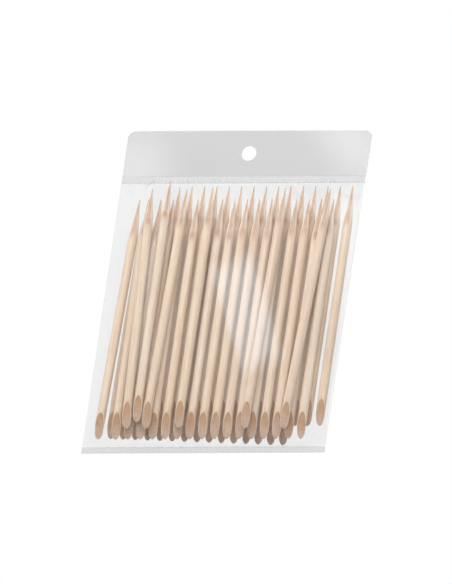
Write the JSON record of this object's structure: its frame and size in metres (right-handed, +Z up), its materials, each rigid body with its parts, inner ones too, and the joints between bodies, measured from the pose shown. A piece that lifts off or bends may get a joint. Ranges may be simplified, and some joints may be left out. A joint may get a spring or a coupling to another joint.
{
  "type": "cuticle pusher pack",
  "caption": "Clear hanging pouch of loose wooden cuticle pushers, each with a pointed end and a bevelled end, under a header strip with a round hang hole.",
  "frame": {"origin": "middle of the pouch's bottom edge, in the plane of the seals and the header", "axes": "+X to the right across the pack seen from the front, +Y towards the back, +Z up towards the header and hang hole"},
  "size_m": [0.118, 0.0186, 0.1552],
  "materials": {
    "header_film": "frosted translucent grey-white film, satin",
    "crimped_film": "heat-crimped film with fine upright ribs, satin",
    "clear_film": "thin clear film, glossy",
    "stick_wood": "unvarnished sanded birch, fine long grain, darker on the cut ends"
  },
  "bodies": {
    "header": {"header": "header_film"},
    "pouch": {"front_film": "clear_film", "rear_film": "clear_film", "top_seal": "crimped_film", "bottom_seal": "crimped_film"},
    "front_stick_01": {"front_stick_01": "stick_wood"},
    "front_stick_02": {"front_stick_02": "stick_wood"},
    "front_stick_03": {"front_stick_03": "stick_wood"},
    "front_stick_04": {"front_stick_04": "stick_wood"},
    "front_stick_05": {"front_stick_05": "stick_wood"},
    "front_stick_06": {"front_stick_06": "stick_wood"},
    "front_stick_07": {"front_stick_07": "stick_wood"},
    "front_stick_08": {"front_stick_08": "stick_wood"},
    "front_stick_09": {"front_stick_09": "stick_wood"},
    "front_stick_10": {"front_stick_10": "stick_wood"},
    "front_stick_11": {"front_stick_11": "stick_wood"},
    "front_stick_12": {"front_stick_12": "stick_wood"},
    "front_stick_13": {"front_stick_13": "stick_wood"},
    "front_stick_14": {"front_stick_14": "stick_wood"},
    "front_stick_15": {"front_stick_15": "stick_wood"},
    "front_stick_16": {"front_stick_16": "stick_wood"},
    "middle_stick_01": {"middle_stick_01": "stick_wood"},
    "middle_stick_02": {"middle_stick_02": "stick_wood"},
    "middle_stick_03": {"middle_stick_03": "stick_wood"},
    "middle_stick_04": {"middle_stick_04": "stick_wood"},
    "middle_stick_05": {"middle_stick_05": "stick_wood"},
    "middle_stick_06": {"middle_stick_06": "stick_wood"},
    "middle_stick_07": {"middle_stick_07": "stick_wood"},
    "middle_stick_08": {"middle_stick_08": "stick_wood"},
    "middle_stick_09": {"middle_stick_09": "stick_wood"},
    "middle_stick_10": {"middle_stick_10": "stick_wood"},
    "middle_stick_11": {"middle_stick_11": "stick_wood"},
    "middle_stick_12": {"middle_stick_12": "stick_wood"},
    "middle_stick_13": {"middle_stick_13": "stick_wood"},
    "middle_stick_14": {"middle_stick_14": "stick_wood"},
    "middle_stick_15": {"middle_stick_15": "stick_wood"},
    "rear_stick_01": {"rear_stick_01": "stick_wood"},
    "rear_stick_02": {"rear_stick_02": "stick_wood"},
    "rear_stick_03": {"rear_stick_03": "stick_wood"},
    "rear_stick_04": {"rear_stick_04": "stick_wood"},
    "rear_stick_05": {"rear_stick_05": "stick_wood"},
    "rear_stick_06": {"rear_stick_06": "stick_wood"},
    "rear_stick_07": {"rear_stick_07": "stick_wood"},
    "rear_stick_08": {"rear_stick_08": "stick_wood"},
    "rear_stick_09": {"rear_stick_09": "stick_wood"},
    "rear_stick_10": {"rear_stick_10": "stick_wood"},
    "rear_stick_11": {"rear_stick_11": "stick_wood"},
    "rear_stick_12": {"rear_stick_12": "stick_wood"},
    "rear_stick_13": {"rear_stick_13": "stick_wood"},
    "rear_stick_14": {"rear_stick_14": "stick_wood"},
    "rear_stick_15": {"rear_stick_15": "stick_wood"},
    "edge_stick": {"edge_stick": "stick_wood"},
    "loose_stick_1": {"loose_stick_1": "stick_wood"},
    "loose_stick_2": {"loose_stick_2": "stick_wood"},
    "loose_stick_3": {"loose_stick_3": "stick_wood"},
    "loose_stick_4": {"loose_stick_4": "stick_wood"},
    "loose_stick_5": {"loose_stick_5": "stick_wood"},
    "loose_stick_6": {"loose_stick_6": "stick_wood"}
  },
  "joints": [
    {"name": "header_fold", "type": "hinge", "parent": "header", "child": "pouch", "pos_m": [0, 0, 0.1337], "axis": [1, 0, 0], "range_deg": [-90, 90]},
    {"name": "front_stick_01_slide", "type": "slide", "parent": "pouch", "child": "front_stick_01", "axis": [0, 0, 1], "range_m": [-0.0005, 0.0034]},
    {"name": "front_stick_02_slide", "type": "slide", "parent": "pouch", "child": "front_stick_02", "axis": [0, 0, 1], "range_m": [-0.0005, 0.0034]},
    {"name": "front_stick_03_slide", "type": "slide", "parent": "pouch", "child": "front_stick_03", "axis": [0, 0, 1], "range_m": [-0.0005, 0.0034]},
    {"name": "front_stick_04_slide", "type": "slide", "parent": "pouch", "child": "front_stick_04", "axis": [0, 0, 1], "range_m": [-0.0005, 0.0034]},
    {"name": "front_stick_05_slide", "type": "slide", "parent": "pouch", "child": "front_stick_05", "axis": [0, 0, 1], "range_m": [-0.0005, 0.0034]},
    {"name": "front_stick_06_slide", "type": "slide", "parent": "pouch", "child": "front_stick_06", "axis": [0, 0, 1], "range_m": [-0.0005, 0.0034]},
    {"name": "front_stick_07_slide", "type": "slide", "parent": "pouch", "child": "front_stick_07", "axis": [0, 0, 1], "range_m": [-0.0005, 0.0034]},
    {"name": "front_stick_08_slide", "type": "slide", "parent": "pouch", "child": "front_stick_08", "axis": [0, 0, 1], "range_m": [-0.0005, 0.0034]},
    {"name": "front_stick_09_slide", "type": "slide", "parent": "pouch", "child": "front_stick_09", "axis": [0, 0, 1], "range_m": [-0.0005, 0.0034]},
    {"name": "front_stick_10_slide", "type": "slide", "parent": "pouch", "child": "front_stick_10", "axis": [0, 0, 1], "range_m": [-0.0005, 0.0034]},
    {"name": "front_stick_11_slide", "type": "slide", "parent": "pouch", "child": "front_stick_11", "axis": [0, 0, 1], "range_m": [-0.0005, 0.0034]},
    {"name": "front_stick_12_slide", "type": "slide", "parent": "pouch", "child": "front_stick_12", "axis": [0, 0, 1], "range_m": [-0.0005, 0.0034]},
    {"name": "front_stick_13_slide", "type": "slide", "parent": "pouch", "child": "front_stick_13", "axis": [0, 0, 1], "range_m": [-0.0005, 0.0034]},
    {"name": "front_stick_14_slide", "type": "slide", "parent": "pouch", "child": "front_stick_14", "axis": [0, 0, 1], "range_m": [-0.0005, 0.0034]},
    {"name": "front_stick_15_slide", "type": "slide", "parent": "pouch", "child": "front_stick_15", "axis": [0, 0, 1], "range_m": [-0.0005, 0.0034]},
    {"name": "front_stick_16_slide", "type": "slide", "parent": "pouch", "child": "front_stick_16", "axis": [0, 0, 1], "range_m": [-0.0005, 0.0034]},
    {"name": "middle_stick_01_slide", "type": "slide", "parent": "pouch", "child": "middle_stick_01", "axis": [0, 0, 1], "range_m": [-0.0086, 0.0007]},
    {"name": "middle_stick_02_slide", "type": "slide", "parent": "pouch", "child": "middle_stick_02", "axis": [0, 0, 1], "range_m": [-0.0086, 0.0007]},
    {"name": "middle_stick_03_slide", "type": "slide", "parent": "pouch", "child": "middle_stick_03", "axis": [0, 0, 1], "range_m": [-0.0086, 0.0007]},
    {"name": "middle_stick_04_slide", "type": "slide", "parent": "pouch", "child": "middle_stick_04", "axis": [0, 0, 1], "range_m": [-0.0086, 0.0007]},
    {"name": "middle_stick_05_slide", "type": "slide", "parent": "pouch", "child": "middle_stick_05", "axis": [0, 0, 1], "range_m": [-0.0086, 0.0007]},
    {"name": "middle_stick_06_slide", "type": "slide", "parent": "pouch", "child": "middle_stick_06", "axis": [0, 0, 1], "range_m": [-0.0086, 0.0007]},
    {"name": "middle_stick_07_slide", "type": "slide", "parent": "pouch", "child": "middle_stick_07", "axis": [0, 0, 1], "range_m": [-0.0086, 0.0007]},
    {"name": "middle_stick_08_slide", "type": "slide", "parent": "pouch", "child": "middle_stick_08", "axis": [0, 0, 1], "range_m": [-0.0086, 0.0007]},
    {"name": "middle_stick_09_slide", "type": "slide", "parent": "pouch", "child": "middle_stick_09", "axis": [0, 0, 1], "range_m": [-0.0086, 0.0007]},
    {"name": "middle_stick_10_slide", "type": "slide", "parent": "pouch", "child": "middle_stick_10", "axis": [0, 0, 1], "range_m": [-0.0086, 0.0007]},
    {"name": "middle_stick_11_slide", "type": "slide", "parent": "pouch", "child": "middle_stick_11", "axis": [0, 0, 1], "range_m": [-0.0086, 0.0007]},
    {"name": "middle_stick_12_slide", "type": "slide", "parent": "pouch", "child": "middle_stick_12", "axis": [0, 0, 1], "range_m": [-0.0086, 0.0007]},
    {"name": "middle_stick_13_slide", "type": "slide", "parent": "pouch", "child": "middle_stick_13", "axis": [0, 0, 1], "range_m": [-0.0086, 0.0007]},
    {"name": "middle_stick_14_slide", "type": "slide", "parent": "pouch", "child": "middle_stick_14", "axis": [0, 0, 1], "range_m": [-0.0086, 0.0007]},
    {"name": "middle_stick_15_slide", "type": "slide", "parent": "pouch", "child": "middle_stick_15", "axis": [0, 0, 1], "range_m": [-0.0086, 0.0007]},
    {"name": "rear_stick_01_slide", "type": "slide", "parent": "pouch", "child": "rear_stick_01", "axis": [0.0209, 0, 0.9998], "range_m": [-0.0036, 0.0008]},
    {"name": "rear_stick_02_slide", "type": "slide", "parent": "pouch", "child": "rear_stick_02", "axis": [0.0209, 0, 0.9998], "range_m": [-0.00336, 0.00105]},
    {"name": "rear_stick_03_slide", "type": "slide", "parent": "pouch", "child": "rear_stick_03", "axis": [0.0209, 0, 0.9998], "range_m": [-0.00311, 0.00129]},
    {"name": "rear_stick_04_slide", "type": "slide", "parent": "pouch", "child": "rear_stick_04", "axis": [0.0209, 0, 0.9998], "range_m": [-0.00287, 0.00154]},
    {"name": "rear_stick_05_slide", "type": "slide", "parent": "pouch", "child": "rear_stick_05", "axis": [0.0209, 0, 0.9998], "range_m": [-0.00262, 0.00178]},
    {"name": "rear_stick_06_slide", "type": "slide", "parent": "pouch", "child": "rear_stick_06", "axis": [0.0209, 0, 0.9998], "range_m": [-0.00238, 0.00203]},
    {"name": "rear_stick_07_slide", "type": "slide", "parent": "pouch", "child": "rear_stick_07", "axis": [0.0209, 0, 0.9998], "range_m": [-0.00213, 0.00227]},
    {"name": "rear_stick_08_slide", "type": "slide", "parent": "pouch", "child": "rear_stick_08", "axis": [0.0209, 0, 0.9998], "range_m": [-0.00189, 0.00252]},
    {"name": "rear_stick_09_slide", "type": "slide", "parent": "pouch", "child": "rear_stick_09", "axis": [0.0209, 0, 0.9998], "range_m": [-0.00164, 0.00276]},
    {"name": "rear_stick_10_slide", "type": "slide", "parent": "pouch", "child": "rear_stick_10", "axis": [0.0209, 0, 0.9998], "range_m": [-0.0014, 0.00301]},
    {"name": "rear_stick_11_slide", "type": "slide", "parent": "pouch", "child": "rear_stick_11", "axis": [0.0209, 0, 0.9998], "range_m": [-0.00115, 0.00325]},
    {"name": "rear_stick_12_slide", "type": "slide", "parent": "pouch", "child": "rear_stick_12", "axis": [0.0209, 0, 0.9998], "range_m": [-0.00091, 0.0035]},
    {"name": "rear_stick_13_slide", "type": "slide", "parent": "pouch", "child": "rear_stick_13", "axis": [0.0209, 0, 0.9998], "range_m": [-0.00066, 0.00374]},
    {"name": "rear_stick_14_slide", "type": "slide", "parent": "pouch", "child": "rear_stick_14", "axis": [0.0209, 0, 0.9998], "range_m": [-0.00042, 0.00399]},
    {"name": "rear_stick_15_slide", "type": "slide", "parent": "pouch", "child": "rear_stick_15", "axis": [0.0209, 0, 0.9998], "range_m": [-0.00017, 0.00423]},
    {"name": "edge_stick_slide", "type": "slide", "parent": "pouch", "child": "edge_stick", "axis": [0.0348, 0, 0.9994], "range_m": [-0.0006, 0.0033]},
    {"name": "loose_stick_1_slide", "type": "slide", "parent": "pouch", "child": "loose_stick_1", "axis": [-0.0305, 0, 0.9995], "range_m": [-0.0008, 0.0032]},
    {"name": "loose_stick_2_slide", "type": "slide", "parent": "pouch", "child": "loose_stick_2", "axis": [0.0009, 0, 1], "range_m": [-0.0039, 0.0001]},
    {"name": "loose_stick_3_slide", "type": "slide", "parent": "pouch", "child": "loose_stick_3", "axis": [0.0339, 0, 0.9994], "range_m": [-0.0008, 0.0032]},
    {"name": "loose_stick_4_slide", "type": "slide", "parent": "pouch", "child": "loose_stick_4", "axis": [0.0044, 0, 1], "range_m": [-0.0012, 0.0028]},
    {"name": "loose_stick_5_slide", "type": "slide", "parent": "pouch", "child": "loose_stick_5", "axis": [0.0313, 0, 0.9995], "range_m": [-0.0007, 0.0033]},
    {"name": "loose_stick_6_slide", "type": "slide", "parent": "pouch", "child": "loose_stick_6", "axis": [0.0583, 0, 0.9983], "range_m": [-0.0005, 0.00351]}
  ]
}
